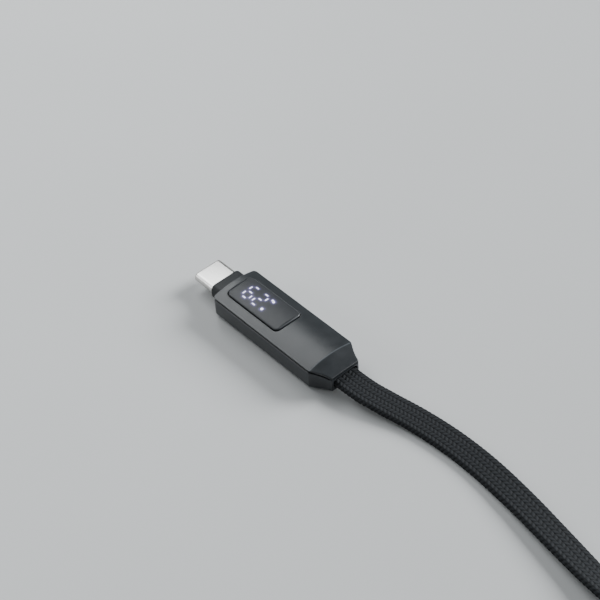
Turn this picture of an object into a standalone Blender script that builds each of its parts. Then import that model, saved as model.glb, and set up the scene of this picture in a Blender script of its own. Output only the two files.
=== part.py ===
"""A charging cable with a power meter in its plug head, as an assembly of separate parts.

Frame: metres, +X from the plug's tip towards the cable, +Z up, the head centred on X = 0 and Y = 0
and resting on Z = 0. The helpers below take millimetres and scale them by MM.
"""

import math

import bmesh
import bpy
from mathutils import Vector

MM = 0.001

# Plug head, lengths along X from the front of its nose collar.
SHELL_REACH = 6.65  # how far the metal plug stands out of the collar
NECK_LENGTH = 3.4
BODY_LENGTH = 33.9
FAR_BODY_LENGTH = 16.0
TAIL_LENGTH = 4.95
AXIS_HEIGHT = 3.4  # the plug's mid plane above the rest plane
HEAD_LENGTH = SHELL_REACH + NECK_LENGTH + BODY_LENGTH + TAIL_LENGTH
COLLAR_X = SHELL_REACH - HEAD_LENGTH / 2  # the collar's front in the head's frame

# Housing section, heights from the rest plane.
HALF_WIDTH = 6.55
TOP, CROWN, BELLY = 6.8, 1.0, 1.0
TAIL_HALF_WIDTH = 4.1
TAIL_TOP, TAIL_BOTTOM = 5.3, 1.2
FLAT_HALF = 4.6  # half the width of the flat underside
WALL = 1.1
RIM_HEIGHT, CAP_HEIGHT = 5.25, 5.6  # the parting gap lies between them
TAIL_RIM, TAIL_CAP = 4.67, 5.02
CAVITY_HALF = HALF_WIDTH - WALL - 0.1
FLOOR_THICKNESS = 1.0
FIT = 0.05  # clearance between parts that touch

# Display window, places along X from the collar's front.
WINDOW_LENGTH, WINDOW_WIDTH, WINDOW_RADIUS = 17.9, 7.8, 1.2
WINDOW_START = 5.5
WINDOW_SEAT, WINDOW_TOP = 5.9, 7.15
WINDOW_GAP = 0.2
APERTURE_LENGTH, APERTURE_WIDTH = 15.2, 5.6
BOSS_BOTTOM = 4.75
DIGIT_X = (9.75, 13.1)
DIGIT_HEIGHT, DIGIT_WIDTH, SEGMENT = 4.15, 2.3, 0.4
SEGMENT_LENGTH = 1.15
MARK_X, MARK_Y, MARK_SIZE = 15.75, 1.75, 0.55

# USB-C plug.
SHELL_WIDTH, SHELL_HEIGHT, SHELL_WALL = 8.25, 2.4, 0.16
CONTACTS, CONTACT_PITCH, CONTACT_WIDTH, CONTACT_THICKNESS = 12, 0.5, 0.26, 0.12
MOUTH_WIDTH, MOUTH_HEIGHT = 6.9, 1.04
COLLAR_WIDTH, COLLAR_HEIGHT = 8.9, 4.1

# Circuit board.
BOARD_THICKNESS = 0.8
BOARD_FRONT, BOARD_SHOULDER, BOARD_END = 2.75, 5.7, 29.0
BOARD_HALF, TONGUE_HALF = 5.0, 3.3
MOULD_LENGTH = 4.1
MOULD_SETBACK = 1.4  # from the housing's ridge to the mould's rear face

# Flat cable.
CABLE_WIDTH, CABLE_THICKNESS = 6.8, 1.5
EXIT_DROP = 0.45  # how much lower the cable is where it leaves the head
CABLE_INSERT = 8.05  # how much of the cable is inside a plug head
FLAT_Z = CABLE_THICKNESS / 2
EDGE_Z = CABLE_WIDTH / 2

# The hank: three turns on edge around a straight run, with a tie and the far plug inside it.
HANK_X, HANK_Y, HANK_RUN = 140.0, 22.75, 55.0
HANK_RADIUS, TURN_PITCH, TURNS = 26.75, 2.75, 3
TIE_WIDTH, TIE_THICKNESS, TIE_LIFT = 12.0, 0.7, 0.8
FAR_TAIL_X, FAR_Y = 176.5, 13.75

# x, y and turn onto edge in degrees, from inside the head to the start of the hank.
RUN_ROUTE = [
    (16.4, 0.0, 0),
    (20.4, 0.0, 0),
    (24.4, 0.0, 0),
    (30.5, 0.5, 0),
    (36.0, 1.75, 0),
    (44.4, 3.7, 0),
    (54.0, 4.65, 0),
    (64.0, 4.45, 0),
    (75.0, 3.2, -4),
    (86.0, 1.4, -9),
    (97.0, -0.5, -15),
    (107.0, -2.1, -28),
    (116.0, -3.2, -52),
    (125.0, -3.85, -77),
    (132.0, -4.0, -88),
    (139.4, -4.0, -90),
]
# Height of the cable's middle where it comes down from the head; past these it lies on the floor.
DESCENT = [(20.4, 3.4), (24.4, 2.95), (30.5, 2.45), (36.0, 1.8), (44.4, 1.0), (54.0, 0.75)]
# The same from the hank's inner end to inside the far plug.
LEAD_ROUTE = [
    (140.6, 4.25, 3.4, -90),
    (147.0, 4.75, 3.4, -84),
    (154.0, 6.4, 3.4, -62),
    (161.0, 9.3, 3.4, -34),
    (168.0, 12.1, 3.4, -10),
    (174.0, 13.55, 3.4, 0),
    (178.5, 13.75, 3.4, 0),
    (184.5, 13.75, 3.4, 0),
]


# Helpers


def material(name, colour, roughness, metallic=0.0, glow=0.0):
    found = bpy.data.materials.new(name)
    found.use_nodes = True
    shader = found.node_tree.nodes["Principled BSDF"]
    shader.inputs["Base Color"].default_value = (*colour, 1)
    shader.inputs["Roughness"].default_value = roughness
    shader.inputs["Metallic"].default_value = metallic
    shader.inputs["Emission Color"].default_value = (*colour, 1)
    shader.inputs["Emission Strength"].default_value = glow
    found.diffuse_color = (*colour, 1)
    return found


def empty(name, x, y, z, turn=0.0):
    made = bpy.data.objects.new(name, None)
    bpy.context.scene.collection.objects.link(made)
    made.location = Vector((x, y, z)) * MM
    made.rotation_euler.z = math.radians(turn)
    return made


def place(name, data, finish, parent):
    made = bpy.data.objects.new(name, data)
    bpy.context.scene.collection.objects.link(made)
    made.parent = parent
    if finish:
        data.materials.append(finish)
    return made


def loft(name, loops, finish, parent):
    """A closed solid through outlines with equal numbers of points, flat at both ends."""
    bm = bmesh.new()
    rings = [[bm.verts.new(Vector(point) * MM) for point in loop] for loop in loops]
    for low, high in zip(rings, rings[1:]):
        for i in range(len(low)):
            j = (i + 1) % len(low)
            bm.faces.new((low[i], low[j], high[j], high[i]))
    bm.faces.new(rings[0][::-1])
    bm.faces.new(rings[-1])
    bmesh.ops.recalc_face_normals(bm, faces=bm.faces)
    mesh = bpy.data.meshes.new(name)
    bm.to_mesh(mesh)
    bm.free()
    return place(name, mesh, finish, parent)


def along_x(name, outline, x0, x1, finish, parent):
    """A prism of a (y, z) outline between two places along X."""
    return loft(name, [[(x, y, z) for y, z in outline] for x in (x0, x1)], finish, parent)


def along_y(name, outline, half, finish, parent):
    return loft(name, [[(x, y, z) for x, z in outline] for y in (-half, half)], finish, parent)


def along_z(name, outline, z0, z1, finish, parent):
    return loft(name, [[(x, y, z) for x, y in outline] for z in (z0, z1)], finish, parent)


def rounded(width, height, radius, centre=(0.0, 0.0), steps=4):
    """A rectangle with round corners; a radius of half the height makes an obround."""
    points = []
    for quarter, (sx, sy) in enumerate(((1, 1), (-1, 1), (-1, -1), (1, -1))):
        cx = centre[0] + sx * (width / 2 - radius)
        cy = centre[1] + sy * (height / 2 - radius)
        for step in range(steps + 1):
            angle = math.radians(90 * (quarter + step / steps))
            points.append((cx + radius * math.cos(angle), cy + radius * math.sin(angle)))
    return points


def block(name, x, y, z, finish, parent):
    """A box from three (low, high) pairs."""
    outline = [(x[0], y[0]), (x[1], y[0]), (x[1], y[1]), (x[0], y[1])]
    return along_z(name, outline, z[0], z[1], finish, parent)


def boolean(target, tool, operation):
    """Cut, keep or join with a tool object that stays out of the model."""
    tool.hide_render = True
    tool.display_type = "WIRE"
    step = target.modifiers.new(tool.name, "BOOLEAN")
    step.operation = operation
    step.object = tool
    return target


def cut(target, *tools):
    for tool in tools:
        boolean(target, tool, "DIFFERENCE")


def join(target, *tools):
    for tool in tools:
        boolean(target, tool, "UNION")


def soften(target, width):
    edge = target.modifiers.new("soft_edges", "BEVEL")
    edge.width = width * MM
    edge.segments = 2
    edge.limit_method = "ANGLE"
    return target


def tube(name, points, radius, finish, parent, flat=0.0, resolution=2):
    """A tube along (x, y, z, turn) points; flat is how much wider than thick it is."""
    curve = bpy.data.curves.new(name, "CURVE")
    curve.dimensions = "3D"
    curve.twist_mode = "Z_UP"
    curve.bevel_depth = radius * MM
    curve.bevel_resolution = resolution
    curve.extrude = flat / 2 * MM
    curve.use_fill_caps = True
    spline = curve.splines.new("POLY")
    spline.points.add(len(points) - 1)
    for target, (x, y, z, turn) in zip(spline.points, points):
        target.co = (x * MM, y * MM, z * MM, 1)
        target.tilt = math.radians(turn)
    return place(name, curve, finish, parent)


def smooth(points, per_span):
    """Points on a smooth curve through the given ones (Catmull-Rom, each value alike)."""
    ends = [points[0], *points, points[-1]]
    found = []
    for a, b, c, d in zip(ends, ends[1:], ends[2:], ends[3:]):
        for step in range(per_span):
            t = step / per_span
            found.append(
                tuple(
                    q + t / 2 * (r - p + t * (2 * p - 5 * q + 4 * r - s + t * (3 * (q - r) + s - p)))
                    for p, q, r, s in zip(a, b, c, d)
                )
            )
    return [*found, points[-1]]


# Housing


def body_loop(x, half, top, crown, bottom, belly):
    """The housing's section at x: crowned on top, upright sides, rounded under a flat."""
    flat = min(FLAT_HALF, half - belly)
    points = []
    for i in range(13):
        t = 1 - i / 6
        points.append((x, half * t, top - crown * t * t))
    for side in (-1, 1):
        corner = []
        for i in range(5):
            angle = math.radians(22.5 * i)
            y = flat + (half - flat) * math.cos(angle)
            corner.append((x, side * y, bottom + belly * (1 - math.sin(angle))))
        points += corner if side < 0 else corner[::-1]
    return points


def housing_loops(body_length):
    """Sections from the rounded front corners to the narrow end of the tail."""
    front, ridge = NECK_LENGTH, NECK_LENGTH + body_length
    corner = 1.0
    loops = []
    for i in range(5):
        angle = math.radians(22.5 * i)
        inset = corner * (1 - math.sin(angle))
        x = front + corner * (1 - math.cos(angle))
        loops.append(body_loop(x, HALF_WIDTH - inset, TOP, CROWN, 0, BELLY))
    loops.append(body_loop(ridge - 0.7, HALF_WIDTH, TOP, CROWN, 0, BELLY))
    for share, half in ((0, 6.38), (0.2, 5.84), (0.41, 5.25), (0.7, 4.6), (1, TAIL_HALF_WIDTH)):
        loops.append(
            body_loop(
                ridge + share * TAIL_LENGTH,
                half,
                TOP + share * (TAIL_TOP - TOP),
                CROWN * (1 - share) + 0.08 * share,
                share * TAIL_BOTTOM,
                BELLY * (1 - share) + 0.3 * share,
            )
        )
    return loops


def parting_line(body_length, level, tail_level):
    """(x, z) points of the split, level along the body and dropping in an S along the tail."""
    ridge = NECK_LENGTH + body_length
    points = [(NECK_LENGTH - 2, level), (ridge - 0.4, level)]
    for i in range(1, 7):
        share = i / 6
        drop = (1 - math.cos(math.pi * share)) / 2
        points.append((ridge - 0.4 + share * TAIL_LENGTH, level + drop * (tail_level - level)))
    return [*points, (ridge + TAIL_LENGTH + 2, tail_level)]


def lower_housing(prefix, body_length, finish, parent):
    ridge = NECK_LENGTH + body_length
    end = ridge + TAIL_LENGTH
    name = prefix + "lower_housing"
    shell = loft(name, housing_loops(body_length), finish, parent)
    line = parting_line(body_length, RIM_HEIGHT, TAIL_RIM)
    above = [*line, (end + 2, 9), (NECK_LENGTH - 2, 9)]
    inside = (NECK_LENGTH + WALL, ridge - MOULD_SETBACK + FIT)
    slot_height = CABLE_THICKNESS + 0.5 + EXIT_DROP
    slot_middle = (0, AXIS_HEIGHT - EXIT_DROP / 2)
    cable_slot = rounded(CABLE_WIDTH + 0.5, slot_height, 0.9, slot_middle)
    neck_hole = rounded(COLLAR_WIDTH + 2 * FIT, COLLAR_HEIGHT + 2 * FIT, 1.5, (0, AXIS_HEIGHT))
    ledge = AXIS_HEIGHT - BOARD_THICKNESS / 2 - FIT
    cut(
        shell,
        along_y(name + "_above", above, 10, None, parent),
        block(name + "_cavity", inside, (-CAVITY_HALF, CAVITY_HALF), (ledge, 9), None, parent),
        block(name + "_well", inside, (-4.55, 4.55), (FLOOR_THICKNESS, 9), None, parent),
        block(
            name + "_flange_pocket",
            (inside[0], inside[0] + 1.05),
            (-CAVITY_HALF, CAVITY_HALF),
            (FLOOR_THICKNESS, 9),
            None,
            parent,
        ),
        along_x(name + "_slot", cable_slot, ridge - 3, end + 1, None, parent),
        along_x(name + "_neck_hole", neck_hole, NECK_LENGTH - 1, inside[0] + 0.5, None, parent),
    )
    return shell


def upper_housing(prefix, body_length, finish, parent, window):
    ridge = NECK_LENGTH + body_length
    end = ridge + TAIL_LENGTH
    name = prefix + "upper_housing"
    shell = loft(name, housing_loops(body_length), finish, parent)
    line = parting_line(body_length, CAP_HEIGHT, TAIL_CAP)
    below = [*line, (end + 2, -2), (NECK_LENGTH - 2, -2)]
    cut(shell, along_y(name + "_below", below, 10, None, parent))
    lip_x = (NECK_LENGTH + WALL + 1.2, ridge - MOULD_SETBACK - 0.3)
    lip_z = (BOSS_BOTTOM, CAP_HEIGHT + 0.1)
    for side in (-1, 1):
        lip_y = sorted((side * (CAVITY_HALF - 0.1), side * (CAVITY_HALF - 0.7)))
        join(shell, block(f"{name}_lip_{side + 1}", lip_x, lip_y, lip_z, None, parent))
    if window:
        middle = WINDOW_START + WINDOW_LENGTH / 2
        boss_x = (middle - WINDOW_LENGTH / 2 + 0.3, middle + WINDOW_LENGTH / 2 + 0.8)
        boss_y = (-CAVITY_HALF + 0.4, CAVITY_HALF - 0.4)
        join(shell, block(name + "_boss", boss_x, boss_y, lip_z, None, parent))
        pocket = rounded(
            WINDOW_LENGTH + 2 * WINDOW_GAP,
            WINDOW_WIDTH + 2 * WINDOW_GAP,
            WINDOW_RADIUS + WINDOW_GAP,
            (middle, 0),
        )
        hole = rounded(APERTURE_LENGTH, APERTURE_WIDTH, 0.6, (middle, 0))
        cut(
            shell,
            along_z(name + "_pocket", pocket, WINDOW_SEAT - 0.15, 9, None, parent),
            along_z(name + "_aperture", hole, 3, 9, None, parent),
        )
    return shell


def display_window(finish, parent):
    """A rounded slab whose top follows the housing's crown and stands a little proud of it."""
    middle = WINDOW_START + WINDOW_LENGTH / 2
    slab = rounded(WINDOW_LENGTH, WINDOW_WIDTH, WINDOW_RADIUS, (middle, 0))
    made = along_z("display_window", slab, WINDOW_SEAT, WINDOW_TOP + 1, finish, parent)
    sag = 0.25
    arch = [(-6, 12)]
    for i in range(9):
        t = i / 4 - 1
        arch.append((t * WINDOW_WIDTH / 2 * 1.2, WINDOW_TOP - sag * t * t * 1.44))
    arch.append((6, 12))
    cut(made, along_x("display_window_arch", arch, 0, 40, None, parent))
    return made


def window_gasket(finish, parent):
    """The adhesive ring under the window's rim."""
    middle = WINDOW_START + WINDOW_LENGTH / 2
    low, high = WINDOW_SEAT - 0.13, WINDOW_SEAT - 0.02
    outer = rounded(WINDOW_LENGTH - 0.2, WINDOW_WIDTH - 0.2, WINDOW_RADIUS, (middle, 0))
    inner = rounded(APERTURE_LENGTH + 0.2, APERTURE_WIDTH + 0.2, 0.6, (middle, 0))
    ring = along_z("window_gasket", outer, low, high, finish, parent)
    cut(ring, along_z("window_gasket_hole", inner, low - 1, high + 1, None, parent))
    return ring


def segment_display(finish, parent):
    """The display block with a raised light bar for each segment and two round marks."""
    deck = WINDOW_SEAT - 0.35
    base = AXIS_HEIGHT + BOARD_THICKNESS / 2 + FIT
    left, right = DIGIT_X[0] - DIGIT_WIDTH, MARK_X + 1.2
    made = block("segment_display", (left, right), (-2.7, 2.7), (base, deck), finish, parent)
    tall = (deck - 0.2, WINDOW_SEAT - 0.1)
    bars = []
    for x in DIGIT_X:
        for row in (-1, 0, 1):
            bars.append((x, row * DIGIT_HEIGHT / 2, SEGMENT_LENGTH, SEGMENT))
        for column in (-1, 1):
            for row in (-1, 1):
                spot = (x + column * DIGIT_WIDTH / 2, row * DIGIT_HEIGHT / 4)
                bars.append((*spot, SEGMENT, SEGMENT_LENGTH))
    bars += [(MARK_X, side * MARK_Y, MARK_SIZE, MARK_SIZE) for side in (-1, 1)]
    for number, (x, y, long, wide) in enumerate(bars):
        span_x, span_y = (x - long / 2, x + long / 2), (y - wide / 2, y + wide / 2)
        join(made, block(f"segment_bar_{number}", span_x, span_y, tall, None, parent))
    return made


# USB-C plug




def plug_shell(name, finish, parent):
    """The drawn steel tube of the plug."""
    outer = rounded(SHELL_WIDTH, SHELL_HEIGHT, SHELL_HEIGHT / 2, (0, AXIS_HEIGHT), 6)
    inner_height = SHELL_HEIGHT - 2 * SHELL_WALL
    inner = rounded(SHELL_WIDTH - 2 * SHELL_WALL, inner_height, inner_height / 2, (0, AXIS_HEIGHT), 6)
    made = along_x(name, outer, -SHELL_REACH, 2.6, finish, parent)
    cut(made, along_x(name + "_bore", inner, -SHELL_REACH - 1, 4, None, parent))
    return made


def plug_insulator(name, finish, parent):
    """The moulded sleeve that holds the contacts in the shell."""
    height = SHELL_HEIGHT - 2 * SHELL_WALL - FIT * 2
    width = SHELL_WIDTH - 2 * SHELL_WALL - FIT * 2
    outer = rounded(width, height, height / 2, (0, AXIS_HEIGHT), 6)
    mouth = rounded(MOUTH_WIDTH, MOUTH_HEIGHT, 0.2, (0, AXIS_HEIGHT), 2)
    made = along_x(name, outer, 0.1 - SHELL_REACH, 0.5, finish, parent)
    cut(made, along_x(name + "_mouth", mouth, -SHELL_REACH - 1, 2, None, parent))
    return made


def contact_wafer(name, side, finish, parent):
    """Twelve spring contacts moulded into a carrier; side is +1 above the mid plane, -1 below."""

    def heights(low, high):
        return sorted((AXIS_HEIGHT + side * low, AXIS_HEIGHT + side * high))

    made = block(name, (0.6, 2.35), (-3.5, 3.5), heights(0.1, 0.92), finish, parent)
    for i in range(CONTACTS):
        y = (i - (CONTACTS - 1) / 2) * CONTACT_PITCH
        span = (y - CONTACT_WIDTH / 2, y + CONTACT_WIDTH / 2)
        blade = heights(0.34, 0.34 + CONTACT_THICKNESS)
        tail = heights(BOARD_THICKNESS / 2 + 0.02, BOARD_THICKNESS / 2 + 0.02 + CONTACT_THICKNESS)
        join(
            made,
            block(f"{name}_blade_{i}", (-5.2, 0.9), span, blade, None, parent),
            block(f"{name}_tail_{i}", (2.2, 4.4), span, tail, None, parent),
        )
    return made


def latch_plate(name, finish, parent):
    """The mid plate whose two side arms catch the socket's tongue."""
    made = block(name, (0.3, 2.3), (-3.36, 3.36), (AXIS_HEIGHT - 0.06, AXIS_HEIGHT + 0.06), finish, parent)
    for side in (-1, 1):
        arm = sorted((side * 3.22, side * 3.36))
        hook = sorted((side * 3.0, side * 3.3))
        height = (AXIS_HEIGHT - 0.34, AXIS_HEIGHT + 0.34)
        join(
            made,
            block(f"{name}_arm_{side + 1}", (-4.9, 0.45), arm, height, None, parent),
            block(f"{name}_hook_{side + 1}", (-4.6, -4.1), hook, height, None, parent),
        )
    return made


def ground_spring(name, side, finish, parent):
    """A strip in the plug's mouth with three fingers that ground the socket's shield."""

    def heights(low, high):
        return sorted((AXIS_HEIGHT + side * low, AXIS_HEIGHT + side * high))

    made = block(name, (-6.45, -6.1), (-2.6, 2.6), heights(0.4, 0.48), finish, parent)
    for i in (-1, 0, 1):
        span = (i * 1.8 - 0.45, i * 1.8 + 0.45)
        finger = block(f"{name}_finger_{i + 1}", (-6.2, -5.4), span, heights(0.32, 0.42), None, parent)
        join(made, finger)
    return made


def nose_collar(name, finish, parent):
    """The neck around the shell, with a flange that the housings trap."""
    neck = rounded(COLLAR_WIDTH, COLLAR_HEIGHT, 1.45, (0, AXIS_HEIGHT))
    flange = rounded(10.0, 4.2, 0.8, (0, AXIS_HEIGHT))
    shell = rounded(SHELL_WIDTH + 2 * FIT, SHELL_HEIGHT + 2 * FIT, SHELL_HEIGHT / 2 + FIT, (0, AXIS_HEIGHT), 6)
    inner_face = NECK_LENGTH + WALL + FIT
    made = along_x(name, neck, 0, inner_face + 0.4, finish, parent)
    join(made, along_x(name + "_flange", flange, inner_face, inner_face + 0.9, None, parent))
    cut(made, along_x(name + "_bore", shell, -1, inner_face + 2, None, parent))
    return made


def usb_c_plug(prefix, finishes, parent):
    plug_shell(prefix + "plug_shell", finishes["steel"], parent)
    plug_insulator(prefix + "plug_insulator", finishes["black_plastic"], parent)
    for word, side in (("upper", 1), ("lower", -1)):
        contact_wafer(f"{prefix}{word}_contact_wafer", side, finishes["gold"], parent)
        ground_spring(f"{prefix}{word}_ground_spring", side, finishes["steel"], parent)
    latch_plate(prefix + "latch_plate", finishes["steel"], parent)
    nose_collar(prefix + "nose_collar", finishes["charcoal"], parent)


# Electronics


def board(name, end, finish, parent):
    outline = [
        (BOARD_FRONT, -TONGUE_HALF),
        (BOARD_SHOULDER, -TONGUE_HALF),
        (BOARD_SHOULDER, -BOARD_HALF),
        (end, -BOARD_HALF),
        (end, BOARD_HALF),
        (BOARD_SHOULDER, BOARD_HALF),
        (BOARD_SHOULDER, TONGUE_HALF),
        (BOARD_FRONT, TONGUE_HALF),
    ]
    half = BOARD_THICKNESS / 2
    return along_z(name, outline, AXIS_HEIGHT - half, AXIS_HEIGHT + half, finish, parent)


def component(name, x, y, size, height, above, finish, parent):
    """A part soldered on the board's upper or lower face."""
    start = BOARD_THICKNESS / 2 + FIT
    span = sorted(AXIS_HEIGHT + (1 if above else -1) * value for value in (start, start + height))
    sides = [(c - s / 2, c + s / 2) for c, s in ((x, size[0]), (y, size[1]))]
    return soften(block(name, *sides, span, finish, parent), 0.08)


# name, y at the cable, radius
WIRES = [
    ("vbus_wire", 2.6, 0.55),
    ("dplus_wire", 1.3, 0.3),
    ("cc_wire", 0.4, 0.3),
    ("dminus_wire", -0.5, 0.3),
    ("ground_wire", -2.0, 0.55),
]


def inner_mould(prefix, ridge, finish, parent):
    """The block that grips the cable's end and lets the wires through."""
    x1 = ridge - MOULD_SETBACK
    x0 = x1 - MOULD_LENGTH
    name = prefix + "inner_mould"
    outline = rounded(8.9, 3.5, 0.4, (0, AXIS_HEIGHT - 0.1), 2)
    made = along_x(name, outline, x0, x1, finish, parent)
    slot = rounded(CABLE_WIDTH + 0.1, CABLE_THICKNESS + 0.1, 0.75, (0, AXIS_HEIGHT))
    cut(made, along_x(name + "_slot", slot, x0 + 1.5, x1 + 1, None, parent))
    for wire, y, radius in WIRES:
        hole = rounded(2 * radius + 0.1, 2 * radius + 0.1, radius + 0.05, (y, AXIS_HEIGHT))
        cut(made, along_x(f"{name}_{wire}_hole", hole, x0 - 1, x0 + 3, None, parent))
    return made


def wires(prefix, board_end, ridge, finishes, parent):
    """Insulated wires from pads on the board to the stripped end of the cable."""
    inside = ridge - MOULD_SETBACK - MOULD_LENGTH + 1.6
    for name, y, radius in WIRES:
        on_board = AXIS_HEIGHT + BOARD_THICKNESS / 2 + FIT + radius
        points = [
            (board_end - 2.2, y * 1.35, on_board, 0),
            (board_end + 0.2, y * 1.35, on_board, 0),
            (board_end + 1.6, y * 1.1, AXIS_HEIGHT + 0.25 * radius, 0),
            (inside - 1.7, y, AXIS_HEIGHT, 0),
            (inside, y, AXIS_HEIGHT, 0),
        ]
        tube(prefix + name, points, radius, finishes[name], parent)


# Cable


def descent(x):
    """The height of the cable's middle above the floor's lowest place for it."""
    if x >= DESCENT[-1][0]:
        return 0.0
    points = [(0.0, AXIS_HEIGHT), *DESCENT]
    for (x0, z0), (x1, z1) in zip(points, points[1:]):
        if x <= x1:
            return z0 + (z1 - z0) * (x - x0) / (x1 - x0) - FLAT_Z
    return 0.0


def run_points():
    """Points of the stretch from the head to the hank."""
    route = []
    for x, y, turn in RUN_ROUTE:
        lie = FLAT_Z + (EDGE_Z - FLAT_Z) * abs(math.sin(math.radians(turn)))
        route.append((x, y, lie + descent(x), turn))
    return smooth(route, 4)


def hank_point(turns, offset):
    """A place on the hank's spiral after so many turns, offset outwards from its middle."""
    radius = HANK_RADIUS - TURN_PITCH * turns
    arc = math.pi * (HANK_RADIUS - TURN_PITCH * TURNS / 2)
    along = (turns % 1.0) * 2 * (HANK_RUN + arc)
    if along < HANK_RUN:
        spine, angle = HANK_X + along, -90.0
    elif along < HANK_RUN + arc:
        spine, angle = HANK_X + HANK_RUN, -90 + 180 * (along - HANK_RUN) / arc
    elif along < 2 * HANK_RUN + arc:
        spine, angle = HANK_X + 2 * HANK_RUN + arc - along, 90.0
    else:
        spine, angle = HANK_X, 90 + 180 * (along - 2 * HANK_RUN - arc) / arc
    reach = radius + offset
    turn = math.radians(angle)
    return spine + reach * math.cos(turn), HANK_Y + reach * math.sin(turn)


def tie_lift(x, y):
    """How far the strap under the bundle raises it."""
    away = abs(x - HANK_X - HANK_RUN / 2) - TIE_WIDTH / 2 - 0.5
    if y < HANK_Y:
        return 0.0
    return TIE_LIFT * 0.5 * (1 + math.cos(math.pi * min(max(away / 18, 0), 1)))


def hank(finish, parent):
    """The turns as one solid: a snail-shaped ring, one turn round its outside and inside."""
    half = CABLE_THICKNESS / 2
    stations = 72
    last = 1 - 0.001  # the step where the run comes in is this share of a turn long
    rings = []
    for share in [i / stations for i in range(stations)] + [last]:
        outer = hank_point(share, half)
        inner = hank_point(TURNS - 1 + share, -half)
        lift = tie_lift(*outer)
        rings.append(
            [
                (*outer, lift),
                (*outer, lift + CABLE_WIDTH),
                (*inner, lift + CABLE_WIDTH),
                (*inner, lift),
            ]
        )
    bm = bmesh.new()
    rings = [[bm.verts.new(Vector(point) * MM) for point in ring] for ring in rings]
    for near, far in zip(rings, rings[1:] + rings[:1]):
        for i in range(4):
            j = (i + 1) % 4
            bm.faces.new((near[i], near[j], far[j], far[i]))
    bmesh.ops.recalc_face_normals(bm, faces=bm.faces)
    mesh = bpy.data.meshes.new("cable_hank")
    bm.to_mesh(mesh)
    bm.free()
    return place("cable_hank", mesh, finish, parent)


def cable_tie(finish, parent):
    """A strap round the turns on the hank's far side."""
    half = CABLE_THICKNESS / 2
    middle = HANK_X + HANK_RUN / 2
    arc = math.pi * (HANK_RADIUS - TURN_PITCH * TURNS / 2)
    share = (1.5 * HANK_RUN + arc) / (2 * HANK_RUN + 2 * arc)
    y0 = hank_point(TURNS - 1 + share, -half - 0.15)[1]
    y1 = hank_point(share, half + 0.15)[1]
    z0, z1 = TIE_LIFT - 0.05, TIE_LIFT + CABLE_WIDTH + 0.05
    centre = ((y0 + y1) / 2, (z0 + z1) / 2)
    thick = TIE_THICKNESS
    outer = rounded(y1 - y0 + 2 * thick, z1 - z0 + 2 * thick, 1.2, centre)
    inner = rounded(y1 - y0, z1 - z0, 0.1, centre)
    span = (middle - TIE_WIDTH / 2, middle + TIE_WIDTH / 2)
    made = along_x("cable_tie", outer, *span, finish, parent)
    cut(made, along_x("cable_tie_bore", inner, span[0] - 1, span[1] + 1, None, parent))
    return made


def cable(finish, parent):
    flat = CABLE_WIDTH - CABLE_THICKNESS
    radius = CABLE_THICKNESS / 2
    run = [(x, y, z, turn + 90) for x, y, z, turn in run_points()]
    tube("cable_run", run, radius, finish, parent, flat)
    lead = [(x, y, z, turn + 90) for x, y, z, turn in smooth(LEAD_ROUTE, 3)]
    tube("cable_lead", lead, radius, finish, parent, flat)
    hank(finish, parent)


# The two heads


def meter_head(finishes, parent):
    ridge = NECK_LENGTH + BODY_LENGTH
    usb_c_plug("", finishes, parent)
    lower_housing("", BODY_LENGTH, finishes["charcoal"], parent)
    upper_housing("", BODY_LENGTH, finishes["charcoal"], parent, window=True)
    display_window(finishes["tinted"], parent)
    window_gasket(finishes["black_plastic"], parent)
    segment_display(finishes["light"], parent)
    board("meter_board", BOARD_END, finishes["board"], parent)
    chip, grey, tin = finishes["chip"], finishes["ceramic"], finishes["steel"]
    component("meter_chip", 12.0, 0.0, (4.0, 4.0), 0.85, False, chip, parent)
    component("emarker_chip", 18.5, 1.6, (3.0, 2.0), 0.75, False, chip, parent)
    component("regulator", 18.5, -1.8, (2.9, 1.6), 1.1, False, chip, parent)
    component("shunt_resistor", 21.5, 0.0, (3.2, 2.5), 0.6, True, tin, parent)
    component("input_capacitor", 7.5, 0.0, (1.6, 3.2), 1.0, False, grey, parent)
    component("output_capacitor", 24.5, 2.2, (2.0, 1.25), 1.0, False, grey, parent)
    inner_mould("", ridge, finishes["black_plastic"], parent)
    wires("", BOARD_END, ridge, finishes, parent)


def far_head(finishes, parent):
    ridge = NECK_LENGTH + FAR_BODY_LENGTH
    board_end = ridge - 8.3
    usb_c_plug("far_", finishes, parent)
    lower_housing("far_", FAR_BODY_LENGTH, finishes["charcoal"], parent)
    upper_housing("far_", FAR_BODY_LENGTH, finishes["charcoal"], parent, window=False)
    board("far_paddle_board", board_end, finishes["board"], parent)
    component("far_emarker_chip", 8.4, 0.0, (3.0, 2.0), 0.75, False, finishes["chip"], parent)
    inner_mould("far_", ridge, finishes["black_plastic"], parent)
    wires("far_", board_end, ridge, finishes, parent)


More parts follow.
